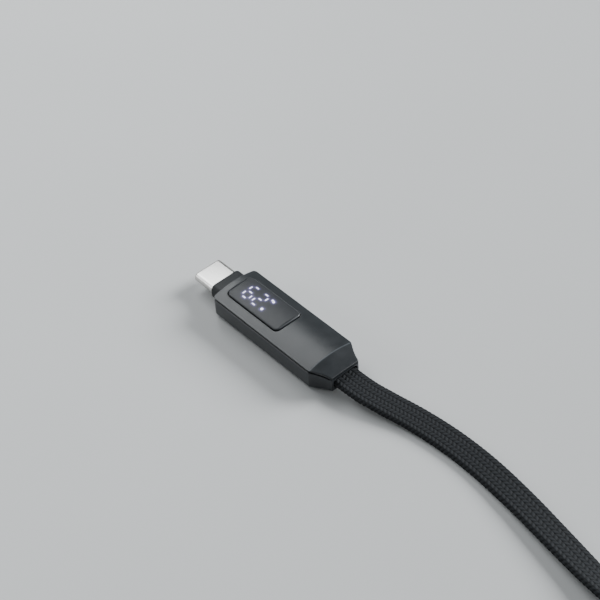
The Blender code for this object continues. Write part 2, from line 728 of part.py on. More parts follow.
def main():
    for old in list(bpy.data.objects):
        bpy.data.objects.remove(old)
    finishes = {
        "charcoal": material("charcoal_plastic", (0.055, 0.058, 0.062), 0.45),
        "black_plastic": material("black_plastic", (0.012, 0.012, 0.013), 0.5),
        "tinted": material("tinted_window", (0.05, 0.052, 0.056), 0.3),
        "light": material("light_bars", (0.85, 0.83, 1.0), 0.4, glow=1.0),
        "steel": material("plated_steel", (0.62, 0.61, 0.6), 0.28, 1.0),
        "gold": material("gold_contacts", (0.83, 0.62, 0.25), 0.3, 1.0),
        "board": material("circuit_board", (0.01, 0.05, 0.03), 0.5),
        "chip": material("chip_resin", (0.02, 0.02, 0.022), 0.55),
        "ceramic": material("capacitor_ceramic", (0.35, 0.25, 0.16), 0.5),
        "woven": material("woven_jacket", (0.022, 0.024, 0.027), 0.8),
        "strap": material("hook_and_loop", (0.015, 0.015, 0.016), 0.95),
        "vbus_wire": material("red_insulation", (0.5, 0.03, 0.02), 0.5),
        "ground_wire": material("black_insulation", (0.02, 0.02, 0.02), 0.5),
        "cc_wire": material("blue_insulation", (0.03, 0.08, 0.4), 0.5),
        "dplus_wire": material("green_insulation", (0.03, 0.3, 0.06), 0.5),
        "dminus_wire": material("white_insulation", (0.75, 0.75, 0.72), 0.5),
    }
    head = empty("head_frame", COLLAR_X, 0, 0)
    meter_head(finishes, head)
    whole = empty("cable_frame", 0, 0, 0)
    cable(finishes["woven"], whole)
    cable_tie(finishes["strap"], whole)
    far_tail = NECK_LENGTH + FAR_BODY_LENGTH + TAIL_LENGTH
    far = empty("far_frame", FAR_TAIL_X + far_tail, FAR_Y, 0, 180)
    far_head(finishes, far)


main()
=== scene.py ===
import math

import bmesh
import bpy
import numpy as np
from mathutils import Matrix, Vector


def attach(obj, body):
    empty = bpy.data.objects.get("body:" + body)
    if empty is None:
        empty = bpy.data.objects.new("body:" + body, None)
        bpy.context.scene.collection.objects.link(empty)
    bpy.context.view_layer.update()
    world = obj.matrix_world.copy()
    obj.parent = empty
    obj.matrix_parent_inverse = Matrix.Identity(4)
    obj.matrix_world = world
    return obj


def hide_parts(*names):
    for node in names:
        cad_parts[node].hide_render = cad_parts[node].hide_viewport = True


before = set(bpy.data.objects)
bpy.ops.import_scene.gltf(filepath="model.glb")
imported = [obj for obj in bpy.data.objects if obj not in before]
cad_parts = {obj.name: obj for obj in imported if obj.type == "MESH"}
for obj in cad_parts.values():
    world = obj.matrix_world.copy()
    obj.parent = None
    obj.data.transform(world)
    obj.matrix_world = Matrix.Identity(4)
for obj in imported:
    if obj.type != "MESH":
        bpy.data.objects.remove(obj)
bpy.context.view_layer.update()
MM = 0.001

# The head, as the CAD has it: lengths along X from the front of the nose collar.
SHELL_REACH, NECK_LENGTH, TAIL_LENGTH = 6.65, 3.4, 4.95
BODY_LENGTH, FAR_BODY_LENGTH = 33.9, 16.0
AXIS_HEIGHT = 3.4
HALF_WIDTH, TOP, CROWN, BELLY = 6.55, 6.8, 1.0, 1.0
TAIL_TOP, TAIL_BOTTOM, FLAT_HALF, WALL = 5.3, 1.2, 4.6, 1.1
# The gap between the tub's rim and the lid is drawn 0.1 mm wider than the CAD has it.
RIM_HEIGHT, CAP_HEIGHT, TAIL_RIM, TAIL_CAP = 5.15, 5.6, 4.57, 5.02
CAVITY_HALF = HALF_WIDTH - WALL - 0.1
WINDOW_LENGTH, WINDOW_WIDTH, WINDOW_RADIUS = 17.9, 7.8, 1.2
WINDOW_START, WINDOW_SEAT, WINDOW_TOP, WINDOW_GAP = 5.5, 5.9, 7.15, 0.2
WINDOW_MIDDLE = WINDOW_START + WINDOW_LENGTH / 2
LENS_CROWN = 0.33
DIGIT_X, DIGIT_HEIGHT, DIGIT_WIDTH = (9.75, 13.1), 4.15, 2.3  # between the bars' middles
BAR_LENGTH, BAR_WIDTH = 0.98, 0.3
MARKS = [(15.75, -1.75, 0.74), (15.45, 1.87, 0.56), (16.03, 1.65, 0.62)]  # x, y, size
LENS_EDGE = 0.3  # radius of the lens's upper edge
LENS_GRID = 0.13  # between the lens's points, which hold the bars' glow
COLLAR_WIDTH, COLLAR_HEIGHT = 8.9, 4.1
SHELL_WIDTH, SHELL_HEIGHT, SHELL_WALL = 8.25, 2.4, 0.16
MOUTH_WIDTH, MOUTH_HEIGHT = 6.9, 1.04
CONTACTS, CONTACT_PITCH = 12, 0.5
EDGE = 0.22  # radius of the housing's moulded edges
GROOVE_WALL, GROOVE_WIDTH, GROOVE_DEPTH = 0.15, 0.6, 0.8  # along the tub's rim, under the gap

# The cable's route, as the CAD has it.
CABLE_WIDTH, CABLE_THICKNESS, CABLE_CORNER = 6.8, 1.5, 0.6
EXIT_DROP = 0.45  # how much lower the cable is where it leaves the head
HANK_X, HANK_Y, HANK_RUN = 140.0, 22.75, 55.0
HANK_RADIUS, TURN_PITCH, TURNS = 26.75, 2.75, 3
TIE_WIDTH, TIE_THICKNESS, TIE_LIFT = 12.0, 0.7, 0.8
FAR_TAIL_X, FAR_Y = 176.5, 13.75
RUN_ROUTE = [  # x, y and the roll in degrees; the cable lies as low as its roll and descent let it
    (16.4, 0.0, 0),
    (20.4, 0.0, 0),
    (24.4, 0.0, 0),
    (30.5, 0.5, 0),
    (36.0, 1.75, 0),
    (44.4, 3.7, 0),
    (54.0, 4.65, 0),
    (64.0, 4.45, 0),
    (75.0, 3.2, -4),
    (86.0, 1.4, -9),
    (97.0, -0.5, -15),
    (107.0, -2.1, -28),
    (116.0, -3.2, -52),
    (125.0, -3.85, -77),
    (132.0, -4.0, -88),
    (139.4, -4.0, -90),
]
# x and the height of the cable's middle on its way down from the head
DESCENT = [(20.4, 3.4), (24.4, 2.95), (30.5, 2.45), (36.0, 1.8), (44.4, 1.0), (54.0, 0.75)]
LEAD_ROUTE = [  # x, y, z and the roll in degrees
    (140.6, 4.25, 3.4, -90),
    (147.0, 4.75, 3.4, -84),
    (154.0, 6.4, 3.4, -62),
    (161.0, 9.3, 3.4, -34),
    (168.0, 12.1, 3.4, -10),
    (174.0, 13.55, 3.4, 0),
    (178.5, 13.75, 3.4, 0),
    (184.5, 13.75, 3.4, 0),
]
STITCH, LONG_STITCH = 0.98, 1.25  # the jacket's stitches are shorter near the head
WALE = 0.96  # the width of a row of stitches
SLANT = 0.5  # how far a stitch leans, in stitches
SEEN_LENGTH = 112.0  # along the route; the stitches' real relief has faded out just before here
RELIEF = 0.08

# Places of the two heads: x and y of the collar's front, and the way +X points.
COLLAR_X = SHELL_REACH - (SHELL_REACH + NECK_LENGTH + BODY_LENGTH + TAIL_LENGTH) / 2
HEAD = (COLLAR_X, 0.0, 1)
FAR = (FAR_TAIL_X + NECK_LENGTH + FAR_BODY_LENGTH + TAIL_LENGTH, FAR_Y, -1)

CAMERA_PLACE = (227.65, -172.78, 285.62)
CAMERA_AZIMUTH, CAMERA_ELEVATION, CAMERA_ROLL = 51.536, 44.020, -4.424
CAMERA_LENS = 103.73


# Meshes


def add(name, points, faces, finish, where=None):
    """A smooth-shaded piece from points in mm, in a head's own frame if where is given."""
    if where:
        x0, y0, way = where
        points = [(x0 + way * x, y0 + way * y, z) for x, y, z in points]
    mesh = bpy.data.meshes.new(name)
    mesh.from_pydata([Vector(p) * MM for p in points], [], faces)
    made = bpy.data.objects.new(name, mesh)
    bpy.context.scene.collection.objects.link(made)
    if finish:
        mesh.materials.append(finish)
    tidy_normals(mesh)
    return made


def tidy_normals(mesh, angle=38):
    """Turn the faces outwards and shade the mesh smooth, but for edges sharper than angle."""
    bm = bmesh.new()
    bm.from_mesh(mesh)
    bmesh.ops.recalc_face_normals(bm, faces=bm.faces)
    bm.to_mesh(mesh)
    bm.free()
    mesh.shade_smooth()
    mesh.set_sharp_from_angle(angle=math.radians(angle))


def band(count, a, b):
    """Quads between two rings of so many points, which start at points a and b."""
    faces = []
    for i in range(count):
        j = (i + 1) % count
        faces.append((a + i, a + j, b + j, b + i))
    return faces


def tube(count, rings, base=0, first=True, last=True):
    """Faces of a run of rings from point base on, with its end caps."""
    faces = []
    for k in range(rings - 1):
        faces += band(count, base + k * count, base + (k + 1) * count)
    end = base + (rings - 1) * count
    if first:
        faces.append(tuple(range(base, base + count))[::-1])
    if last:
        faces.append(tuple(range(end, end + count)))
    return faces


def loft(name, loops, finish, where=None, closed=False):
    """A skin through outlines with equal numbers of points, capped unless it closes on itself."""
    count, rings = len(loops[0]), len(loops)
    points = [p for loop in loops for p in loop]
    faces = tube(count, rings, first=not closed, last=not closed)
    if closed:
        faces += band(count, (rings - 1) * count, 0)
    return add(name, points, faces, finish, where)


def rounded(width, height, radius, centre=(0.0, 0.0), steps=6):
    """The outline of a rectangle with rounded corners."""
    points = []
    for quarter, (sx, sy) in enumerate(((1, 1), (-1, 1), (-1, -1), (1, -1))):
        cx = centre[0] + sx * (width / 2 - radius)
        cy = centre[1] + sy * (height / 2 - radius)
        for step in range(steps + 1):
            angle = math.radians(90 * (quarter + step / steps))
            points.append((cx + radius * math.cos(angle), cy + radius * math.sin(angle)))
    return points


def inset_outline(width, height, radius, by, centre, steps=6):
    tight = max(radius - by, 0.02)
    return rounded(width - 2 * by, height - 2 * by, tight, centre, steps)


def carve(target, *cutters):
    """Cut the cutters out of target for good, and drop them."""
    for cutter in cutters:
        step = target.modifiers.new(cutter.name, "BOOLEAN")
        step.operation = "DIFFERENCE"
        step.object = cutter
    graph = bpy.context.evaluated_depsgraph_get()
    mesh = bpy.data.meshes.new_from_object(target.evaluated_get(graph), depsgraph=graph)
    target.modifiers.clear()
    old, target.data = target.data, mesh
    bpy.data.meshes.remove(old)
    for cutter in cutters:
        bpy.data.objects.remove(cutter)
    tidy_normals(mesh)
    return target


def block(name, x, y, z, finish=None, where=None):
    corners = [(x[0], y[0]), (x[1], y[0]), (x[1], y[1]), (x[0], y[1])]
    return loft(name, [[(a, b, c) for a, b in corners] for c in z], finish, where)


def along_x(name, outline, x0, x1, finish=None, where=None):
    return loft(name, [[(x, y, z) for y, z in outline] for x in (x0, x1)], finish, where)


def rounded_bar(name, outline_at, spans, finish, where, closed=False):
    """A bar along X whose outline shrinks by an inset at each (x, inset) of spans."""
    loops = [[(x, y, z) for y, z in outline_at(inset)] for x, inset in spans]
    return loft(name, loops, finish, where, closed)


def smooth(points, per_span):
    """A Catmull-Rom curve through the points."""
    ends = [points[0], *points, points[-1]]
    found = []
    for a, b, c, d in zip(ends, ends[1:], ends[2:], ends[3:]):
        for step in range(per_span):
            t = step / per_span
            point = []
            for p, q, r, s in zip(a, b, c, d):
                cube = 3 * (q - r) + s - p
                square = 2 * p - 5 * q + 4 * r - s
                point.append(q + t / 2 * (r - p + t * (square + t * cube)))
            found.append(tuple(point))
    return [*found, points[-1]]


# Materials


def shader_nodes(name, roughness=0.5, metallic=0.0, specular=0.5):
    made = bpy.data.materials.new(name)
    made.use_nodes = True
    tree = made.node_tree
    shader = tree.nodes["Principled BSDF"]
    shader.inputs["Roughness"].default_value = roughness
    shader.inputs["Metallic"].default_value = metallic
    shader.inputs["Specular IOR Level"].default_value = specular
    return made, tree, shader


def node(tree, kind, **values):
    made = tree.nodes.new(kind)
    for key, value in values.items():
        if key in made.inputs:
            made.inputs[key].default_value = value
        else:
            setattr(made, key, value)
    return made


def calculate(tree, operation, first, second=None, third=None):
    made = node(tree, "ShaderNodeMath", operation=operation)
    for socket, value in zip(made.inputs, (first, second, third)):
        if value is None:
            continue
        if isinstance(value, (int, float)):
            socket.default_value = value
        else:
            tree.links.new(value, socket)
    return made.outputs[0]


def noise(tree, scale, detail=3.0, rough=0.5, stretch=(1, 1, 1)):
    """Noise in the object's own metres; scale is cells per metre."""
    place = node(tree, "ShaderNodeTexCoord")
    turn = node(tree, "ShaderNodeMapping")
    turn.inputs["Scale"].default_value = stretch
    made = node(tree, "ShaderNodeTexNoise", Scale=scale, Detail=detail, Roughness=rough)
    tree.links.new(place.outputs["Object"], turn.inputs["Vector"])
    tree.links.new(turn.outputs["Vector"], made.inputs["Vector"])
    return made.outputs["Fac"]


def ramp(tree, value, stops):
    made = tree.nodes.new("ShaderNodeValToRGB")
    elements = made.color_ramp.elements
    for extra in stops[2:]:
        elements.new(extra[0])
    for element, (at, colour) in zip(elements, sorted(stops)):
        element.position = at
        element.color = (*colour, 1) if len(colour) == 3 else colour
    tree.links.new(value, made.inputs["Fac"])
    return made.outputs["Color"]


def spread(tree, value, low, high):
    made = node(tree, "ShaderNodeMapRange")
    made.inputs["To Min"].default_value = low
    made.inputs["To Max"].default_value = high
    tree.links.new(value, made.inputs["Value"])
    return made.outputs["Result"]


def bump(tree, shader, value, distance, strength=1.0, under=None):
    made = node(tree, "ShaderNodeBump", Strength=strength, Distance=distance * MM)
    tree.links.new(value, made.inputs["Height"])
    if under:
        tree.links.new(under, made.inputs["Normal"])
    tree.links.new(made.outputs["Normal"], shader.inputs["Normal"])
    return made.outputs["Normal"]


def painted_highlight_colour(tree, painted_highlight, colour, highlight):
    """The colour, mixed with a lighter one, a painted highlight, as far as the mask goes."""
    made = node(tree, "ShaderNodeMix", data_type="RGBA")
    first, second, result = made.inputs[6], made.inputs[7], made.outputs[2]  # the RGBA sockets
    tree.links.new(painted_highlight, made.inputs["Factor"])
    tree.links.new(colour, first)
    second.default_value = (*highlight, 1)
    return result


def moulded(name, dark, light, roughness, grain=0.006, specular=0.5):
    """Moulded plastic: fine eroded grain, slow changes of tone and gloss, and a painted highlight
    on marked edges, which are also a little glossier.
    """
    made, tree, shader = shader_nodes(name, roughness, specular=specular)
    painted_highlight = node(tree, "ShaderNodeAttribute", attribute_name="painted_highlight").outputs["Fac"]
    tone = noise(tree, 420, 4)
    fleck = noise(tree, 9000, 2, 0.7)
    mixed = calculate(tree, "MULTIPLY_ADD", fleck, 0.5, tone)
    colour = ramp(tree, mixed, [(0.45, dark), (1.0, light)])
    # painted highlight: the marked edges get a colour about three times as light
    worn = [3.2 * c + 0.02 for c in light]
    colour = painted_highlight_colour(tree, painted_highlight, colour, worn)
    tree.links.new(colour, shader.inputs["Base Color"])
    gloss = spread(tree, tone, roughness - 0.05, roughness + 0.07)
    gloss = calculate(tree, "MULTIPLY_ADD", painted_highlight, -0.08, gloss)
    tree.links.new(gloss, shader.inputs["Roughness"])
    under = bump(tree, shader, noise(tree, 11000, 2), grain)
    bump(tree, shader, noise(tree, 3500, 2), grain * 0.8, under=under)
    return made


def metal(name, colour, roughness, stretch=(1, 1, 1)):
    """Plated metal with fine drawing lines and worn, duller patches."""
    made, tree, shader = shader_nodes(name, roughness, 1.0)
    lines = noise(tree, 6000, 3, 0.6, stretch)
    patches = noise(tree, 700, 4)
    dark = tuple(0.92 * c for c in colour)
    tree.links.new(ramp(tree, patches, [(0.3, dark), (0.7, colour)]), shader.inputs["Base Color"])
    mixed = calculate(tree, "MULTIPLY_ADD", lines, 0.5, patches)
    gloss = spread(tree, mixed, roughness - 0.03, roughness + 0.07)
    tree.links.new(gloss, shader.inputs["Roughness"])
    bump(tree, shader, lines, 0.002)
    return made


def woven(name):
    """The jacket: slanting stitches, read from the UV map, which counts stitches and rows."""
    made, tree, shader = shader_nodes(name, 0.75, specular=0.22)
    uv = node(tree, "ShaderNodeUVMap", uv_map="jacket")
    split = tree.nodes.new("ShaderNodeSeparateXYZ")
    tree.links.new(uv.outputs["UV"], split.inputs[0])
    stitches, rows = split.outputs["X"], split.outputs["Y"]
    pair = calculate(tree, "FRACT", calculate(tree, "MULTIPLY", rows, 0.5))
    zig = calculate(tree, "ABSOLUTE", calculate(tree, "MULTIPLY_ADD", pair, 2.0, -1.0))
    phase = calculate(tree, "MULTIPLY_ADD", zig, SLANT, stitches)
    wave = calculate(tree, "SINE", calculate(tree, "MULTIPLY", phase, math.pi))
    ridge = calculate(tree, "ABSOLUTE", wave)
    row = calculate(tree, "FRACT", rows)
    edge = calculate(tree, "ABSOLUTE", calculate(tree, "MULTIPLY_ADD", row, 2.0, -1.0))
    groove = calculate(tree, "POWER", edge, 4.0)
    relief = calculate(tree, "MULTIPLY_ADD", groove, -0.6, ridge)
    strand = tree.nodes.new("ShaderNodeCombineXYZ")
    tree.links.new(calculate(tree, "MULTIPLY", phase, 7.0), strand.inputs[0])
    tree.links.new(calculate(tree, "MULTIPLY", rows, 1.1), strand.inputs[1])
    threads = node(tree, "ShaderNodeTexNoise", Scale=1.5, Detail=2.0)
    tree.links.new(strand.outputs[0], threads.inputs["Vector"])
    # the colour follows the stitches' relief, darker in the grooves and lighter on the crests:
    # painted shade and highlight, over the threads' own random tone
    shade = calculate(tree, "MULTIPLY", relief, 0.55)
    shade = calculate(tree, "MULTIPLY_ADD", threads.outputs["Fac"], 0.5, shade)
    gap, thread, crest = (0.001, 0.0012, 0.0016), (0.0062, 0.0074, 0.0092), (0.0155, 0.0175, 0.0205)
    colour = ramp(tree, shade, [(0.1, gap), (0.45, thread), (0.85, crest)])
    tree.links.new(colour, shader.inputs["Base Color"])
    shader.inputs["Sheen Weight"].default_value = 0.03
    shader.inputs["Sheen Roughness"].default_value = 0.5
    under = bump(tree, shader, relief, 0.09)
    under = bump(tree, shader, threads.outputs["Fac"], 0.05, under=under)
    bump(tree, shader, noise(tree, 16000, 2), 0.01, under=under)
    tree.links.new(spread(tree, threads.outputs["Fac"], 0.66, 0.86), shader.inputs["Roughness"])
    return made


def smoked_window(name):
    """Smoked lens plastic; an attribute on its points holds the glow round the lit bars."""
    made, tree, shader = shader_nodes(name, 0.4, specular=0.4)
    tone = noise(tree, 500, 3)
    colour = ramp(tree, tone, [(0.35, (0.0175, 0.019, 0.0215)), (0.7, (0.0225, 0.0245, 0.0275))])
    # painted highlight along the lens's rounded rim: a colour about three and a half times as light
    painted_highlight = node(tree, "ShaderNodeAttribute", attribute_name="painted_highlight").outputs["Fac"]
    colour = painted_highlight_colour(tree, painted_highlight, colour, (0.075, 0.08, 0.087))
    tree.links.new(colour, shader.inputs["Base Color"])
    tree.links.new(spread(tree, tone, 0.4, 0.47), shader.inputs["Roughness"])
    bump(tree, shader, noise(tree, 9000, 2), 0.002)
    halo = node(tree, "ShaderNodeAttribute", attribute_name="glow")
    tree.links.new(halo.outputs["Fac"], shader.inputs["Emission Strength"])
    shader.inputs["Emission Color"].default_value = (0.42, 0.36, 1.0, 1)
    return made


def glowing(name):
    """A lit bar: bright in its middle, violet towards its rim."""
    made, tree, shader = shader_nodes(name, 0.4)
    core = node(tree, "ShaderNodeAttribute", attribute_name="core")
    colour = ramp(tree, core.outputs["Fac"], [(0.0, (0.45, 0.42, 0.95)), (0.75, (0.93, 0.92, 1.0))])
    tree.links.new(colour, shader.inputs["Emission Color"])
    tree.links.new(spread(tree, core.outputs["Fac"], 0.7, 2.2), shader.inputs["Emission Strength"])
    grain = ramp(tree, noise(tree, 4000), [(0.3, (0.7, 0.7, 0.8)), (0.7, (0.8, 0.8, 0.9))])
    tree.links.new(grain, shader.inputs["Base Color"])
    return made


def fuzzy(name, dark, light):
    """Hook-and-loop tape: a matted pile."""
    made, tree, shader = shader_nodes(name, 0.95, specular=0.2)
    pile = noise(tree, 5200, 4, 0.75)
    tree.links.new(ramp(tree, pile, [(0.35, dark), (0.68, light)]), shader.inputs["Base Color"])
    shader.inputs["Sheen Weight"].default_value = 0.3
    under = bump(tree, shader, pile, 0.12)
    bump(tree, shader, noise(tree, 14000, 2), 0.04, under=under)
    return made


def floor_finish(name):
    made, tree, shader = shader_nodes(name, 0.6, specular=0.25)
    tone = noise(tree, 6, 3)
    colour = ramp(tree, tone, [(0.3, (0.53, 0.535, 0.535)), (0.7, (0.56, 0.565, 0.565))])
    tree.links.new(colour, shader.inputs["Base Color"])
    return made


FINISH = {
    "charcoal": moulded(
        "charcoal_moulding", (0.0135, 0.0155, 0.0178), (0.0195, 0.022, 0.0248), 0.34
    ),
    # a lighter copy of the charcoal for the tub, which is of the same plastic: painted light on its
    # side walls
    "side": moulded("charcoal_tub_painted_light", (0.021, 0.0235, 0.0265), (0.028, 0.031, 0.0345), 0.34, 0.004),
    # a darker copy of the charcoal for the nose collar, which is of the same plastic: painted
    # shade; it is also rougher and less shiny
    "collar": moulded(
        "collar_moulding_painted_shade", (0.011, 0.0122, 0.0138), (0.015, 0.0165, 0.0185), 0.46, specular=0.25
    ),
    "black": moulded("black_moulding", (0.008, 0.008, 0.009), (0.014, 0.014, 0.015), 0.5),
    "window": smoked_window("smoked_window"),
    "lit": glowing("lit_bar"),
    "steel": metal("plated_steel", (0.66, 0.65, 0.63), 0.26, (0.15, 1, 1)),
    "gold": metal("gold_plate", (0.86, 0.62, 0.26), 0.24, (0.3, 1, 1)),
    "woven": woven("woven_jacket"),
    "strap": fuzzy("hook_and_loop", (0.004, 0.004, 0.005), (0.018, 0.018, 0.02)),
    "board": moulded("solder_mask", (0.006, 0.035, 0.02), (0.012, 0.075, 0.045), 0.35, 0.01),
    "chip": moulded("chip_resin", (0.014, 0.014, 0.015), (0.026, 0.026, 0.028), 0.6),
    "ceramic": moulded("fired_ceramic", (0.28, 0.2, 0.13), (0.38, 0.28, 0.18), 0.45),
    "white": moulded("white_block", (0.62, 0.62, 0.63), (0.72, 0.72, 0.73), 0.5),
    "red": moulded("red_insulation", (0.38, 0.02, 0.015), (0.5, 0.035, 0.025), 0.45),
    "wire_black": moulded("black_insulation", (0.014, 0.014, 0.014), (0.03, 0.03, 0.03), 0.45),
    "blue": moulded("blue_insulation", (0.02, 0.06, 0.32), (0.04, 0.1, 0.45), 0.45),
    "green": moulded("green_insulation", (0.02, 0.22, 0.05), (0.04, 0.34, 0.08), 0.45),
    "wire_white": moulded("white_insulation", (0.66, 0.66, 0.63), (0.76, 0.76, 0.73), 0.45),
}


def keep(piece, slot, *nodes):
    """Ride on the only body and stand for CAD nodes; the slot argument is not used."""
    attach(piece, "root")
    if nodes:
        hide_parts(*nodes)
    return piece


# Camera


def camera():
    azimuth, elevation = math.radians(CAMERA_AZIMUTH), math.radians(CAMERA_ELEVATION)
    roll = math.radians(CAMERA_ROLL)
    side = Vector((math.cos(azimuth), math.sin(azimuth), 0))
    near = Vector((math.sin(azimuth), -math.cos(azimuth), 0))
    back = near * math.cos(elevation) + Vector((0, 0, math.sin(elevation)))
    up = back.cross(side)
    right = math.cos(roll) * side + math.sin(roll) * up
    top = math.cos(roll) * up - math.sin(roll) * side
    data = bpy.data.cameras.new("camera")
    data.lens, data.sensor_width, data.clip_start = CAMERA_LENS, 36, 0.01
    made = bpy.data.objects.new("camera", data)
    bpy.context.scene.collection.objects.link(made)
    turn = Matrix((right, top, back)).transposed().to_4x4()
    made.matrix_world = Matrix.Translation(Vector(CAMERA_PLACE) * MM) @ turn
    bpy.context.scene.camera = made


# Cable


def descent(x):
    """How high the cable's middle is over its resting height, on its way down from the head."""
    if x >= DESCENT[-1][0]:
        return 0.0
    points = [(0.0, AXIS_HEIGHT), *DESCENT]
    for (x0, z0), (x1, z1) in zip(points, points[1:]):
        if x <= x1:
            return z0 + (z1 - z0) * (x - x0) / (x1 - x0) - CABLE_THICKNESS / 2
    return 0.0


def resting_height(turn):
    """The height of the cable's middle on the floor, turned so many degrees onto its edge."""
    across = (CABLE_WIDTH / 2 - CABLE_CORNER) * abs(math.sin(math.radians(turn)))
    through = (CABLE_THICKNESS / 2 - CABLE_CORNER) * math.cos(math.radians(turn))
    return across + through + CABLE_CORNER


def hank_point(turns, offset):
    """The x and y of the hank's middle line after so many turns, moved outwards by offset."""
    radius = HANK_RADIUS - TURN_PITCH * turns
    arc = math.pi * (HANK_RADIUS - TURN_PITCH * TURNS / 2)
    along = (turns % 1.0) * 2 * (HANK_RUN + arc)
    if along < HANK_RUN:
        spine, angle = HANK_X + along, -90.0
    elif along < HANK_RUN + arc:
        spine, angle = HANK_X + HANK_RUN, -90 + 180 * (along - HANK_RUN) / arc
    elif along < 2 * HANK_RUN + arc:
        spine, angle = HANK_X + 2 * HANK_RUN + arc - along, 90.0
    else:
        spine, angle = HANK_X, 90 + 180 * (along - 2 * HANK_RUN - arc) / arc
    reach, turn = radius + offset, math.radians(angle)
    return spine + reach * math.cos(turn), HANK_Y + reach * math.sin(turn)


def tie_lift(x, y):
    """How far the tie lifts the turns in it; they come down again on both sides."""
    away = abs(x - HANK_X - HANK_RUN / 2) - TIE_WIDTH / 2 - 0.5
    if y < HANK_Y:
        return 0.0
    return TIE_LIFT * 0.5 * (1 + math.cos(math.pi * min(max(away / 18, 0), 1)))


def cable_route():
    """The whole route as (x, y, z, turn) points, from inside the head to inside the far plug."""
    run = []
    for x, y, turn in RUN_ROUTE:
        run.append((x, y, resting_height(turn) + descent(x), turn))
    turns = []
    for i in range(1, 60 * TURNS):
        x, y = hank_point(i / 60, 0)
        turns.append((x, y, resting_height(90) + tie_lift(x, y), -90))
    return smooth(run[:-1] + turns + LEAD_ROUTE, 6)


def stitch_count(along):
    """How many stitches there are up to a place along the cable."""
    share = np.clip((along - 15) / 45, 0, 1)
    pitch = STITCH + (LONG_STITCH - STITCH) * share * share * (3 - 2 * share)
    steps = np.diff(along, prepend=0) / pitch
    return np.cumsum(steps)


def stitch_relief(stitches, rows):
    """Height of the jacket's stitches, 0 to 1, as the material draws them."""
    zig = np.abs(2 * np.mod(rows / 2, 1) - 1)
    ridge = np.abs(np.sin((stitches + SLANT * zig) * math.pi))
    return ridge - 0.6 * np.abs(2 * np.mod(rows, 1) - 1) ** 4


def cable():
    """The jacket, with the points of its middle line and its length in metres."""
    route = np.array(cable_route())
    fine, coarse = 0.17, 1.1  # the distance between sections, where it is seen and past that
    steps = np.linalg.norm(np.diff(route[:, :3], axis=0), axis=1)
    length = np.concatenate([[0], np.cumsum(steps)])
    total = float(length[-1])
    seen, unseen = np.arange(0, SEEN_LENGTH, fine), np.arange(SEEN_LENGTH, total - 0.2, coarse)
    stations = np.concatenate([seen, unseen, [total]])
    at = np.stack([np.interp(stations, length, route[:, k]) for k in range(4)], 1)
    centre, turn = at[:, :3], np.radians(at[:, 3])
    ahead = np.gradient(centre, stations, axis=0)
    ahead /= np.linalg.norm(ahead, axis=1)[:, None]
    side = np.cross([0, 0, 1], ahead)
    side /= np.linalg.norm(side, axis=1)[:, None]
    up = np.cross(ahead, side)
    wide = np.cos(turn)[:, None] * side + np.sin(turn)[:, None] * up
    thin = np.cross(ahead, wide)
    section = flat_section()
    around = len(section)
    rows = section[:, 4]
    count = stitch_count(stations)
    fade = np.clip((SEEN_LENGTH - 4 - stations) / 6, 0, 1)
    relief = RELIEF * fade[:, None] * (stitch_relief(count[:, None], rows[None]) - 0.7)
    across = section[:, 0][None] + relief * section[:, 2][None]
    raised = section[:, 1][None] + relief * section[:, 3][None]
    points = centre[:, None] + across[..., None] * wide[:, None] + raised[..., None] * thin[:, None]
    faces = tube(around, len(stations))
    made = add("woven_cable", points.reshape(-1, 3).tolist(), faces, FINISH["woven"])
    map_jacket(made.data, rows, count)
    return made, centre * MM, total * MM


def map_jacket(mesh, rows, count):
    """The jacket's UV map: stitches along it, and rows round it up to the last one at the seam."""
    around = len(rows)
    full = round(float(rows[-1] * around / (around - 1)))
    points = np.zeros(len(mesh.loops), np.int32)
    starts = np.zeros(len(mesh.polygons), np.int32)
    totals = np.zeros(len(mesh.polygons), np.int32)
    mesh.loops.foreach_get("vertex_index", points)
    mesh.polygons.foreach_get("loop_start", starts)
    mesh.polygons.foreach_get("loop_total", totals)
    across = rows[points % around]
    widest = np.repeat(np.maximum.reduceat(across, starts), totals)
    on_seam = (across == 0) & (widest > full / 2) & (totals.repeat(totals) == 4)
    across = np.where(on_seam, full, across)
    places = np.stack([count[points // around], across], 1)
    made = mesh.uv_layers.new(name="jacket")
    made.data.foreach_set("uv", places.astype(np.float32).ravel())


def flat_section(around=120):
    """Points of the outline: x, y, outward x and y, and the way round in rows of stitches."""
    outline = np.array(rounded(CABLE_WIDTH, CABLE_THICKNESS, CABLE_CORNER, steps=12))
    closed = np.vstack([outline, outline[:1]])
    way = np.concatenate([[0], np.cumsum(np.linalg.norm(np.diff(closed, axis=0), axis=1))])
    share = np.arange(around) / around
    places = np.stack([np.interp(share * way[-1], way, closed[:, k]) for k in (0, 1)], 1)
    ahead = np.roll(places, -1, axis=0) - np.roll(places, 1, axis=0)
    ahead /= np.linalg.norm(ahead, axis=1)[:, None]
    rows = 2 * round(way[-1] / WALE / 2)
    return np.column_stack([places, ahead[:, 1], -ahead[:, 0], rows * share])


